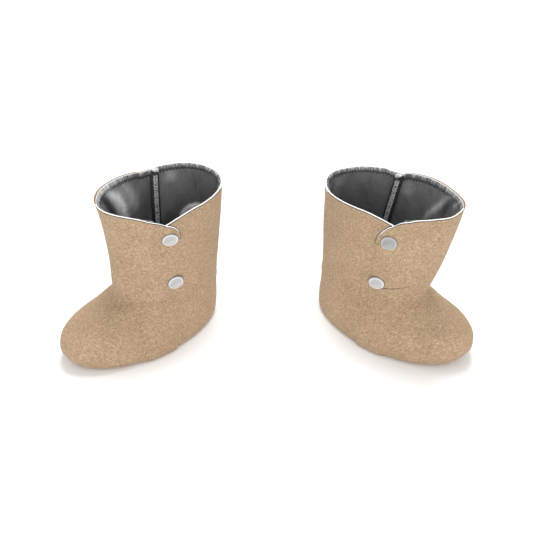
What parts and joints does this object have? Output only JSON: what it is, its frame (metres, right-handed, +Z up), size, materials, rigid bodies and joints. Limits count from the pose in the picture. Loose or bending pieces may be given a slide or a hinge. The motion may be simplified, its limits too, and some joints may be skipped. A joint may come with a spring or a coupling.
{
  "type": "pair of boot covers",
  "caption": "Pair of tan lined boot covers with snap-closed inner flaps, standing open with the toes turned out.",
  "frame": {"origin": "on the ground, at the middle of the pair's outline seen from above", "axes": "+X from the cover at the picture's left to the one at its right, +Y away from the picture's camera, +Z up"},
  "size_m": [0.3314, 0.1083, 0.1412],
  "materials": {
    "tan_nubuck": "matt tan nubuck-like sheet with a fine mottled nap and white cut edges",
    "grey_satin": "dark grey lining satin with a soft sheen",
    "hem_satin": "puckered, topstitched hem of the same satin, lighter where it turns over",
    "overcast_thread": "seam allowance overcast with silver grey thread",
    "snap_plastic": "glossy light grey moulded snap"
  },
  "bodies": {
    "root": {"left_front": "tan_nubuck", "left_back": "tan_nubuck", "left_sole": "tan_nubuck", "left_front_lining": "grey_satin", "left_back_lining": "grey_satin", "left_front_hem": "hem_satin", "left_back_hem": "hem_satin", "left_seam": "overcast_thread", "left_upper_snap": "snap_plastic", "left_upper_stud": "snap_plastic", "left_lower_snap": "snap_plastic", "left_lower_stud": "snap_plastic", "right_front": "tan_nubuck", "right_back": "tan_nubuck", "right_sole": "tan_nubuck", "right_front_lining": "grey_satin", "right_back_lining": "grey_satin", "right_front_hem": "hem_satin", "right_back_hem": "hem_satin", "right_seam": "overcast_thread", "right_upper_snap": "snap_plastic", "right_upper_stud": "snap_plastic", "right_lower_snap": "snap_plastic", "right_lower_stud": "snap_plastic"}
  },
  "joints": []
}
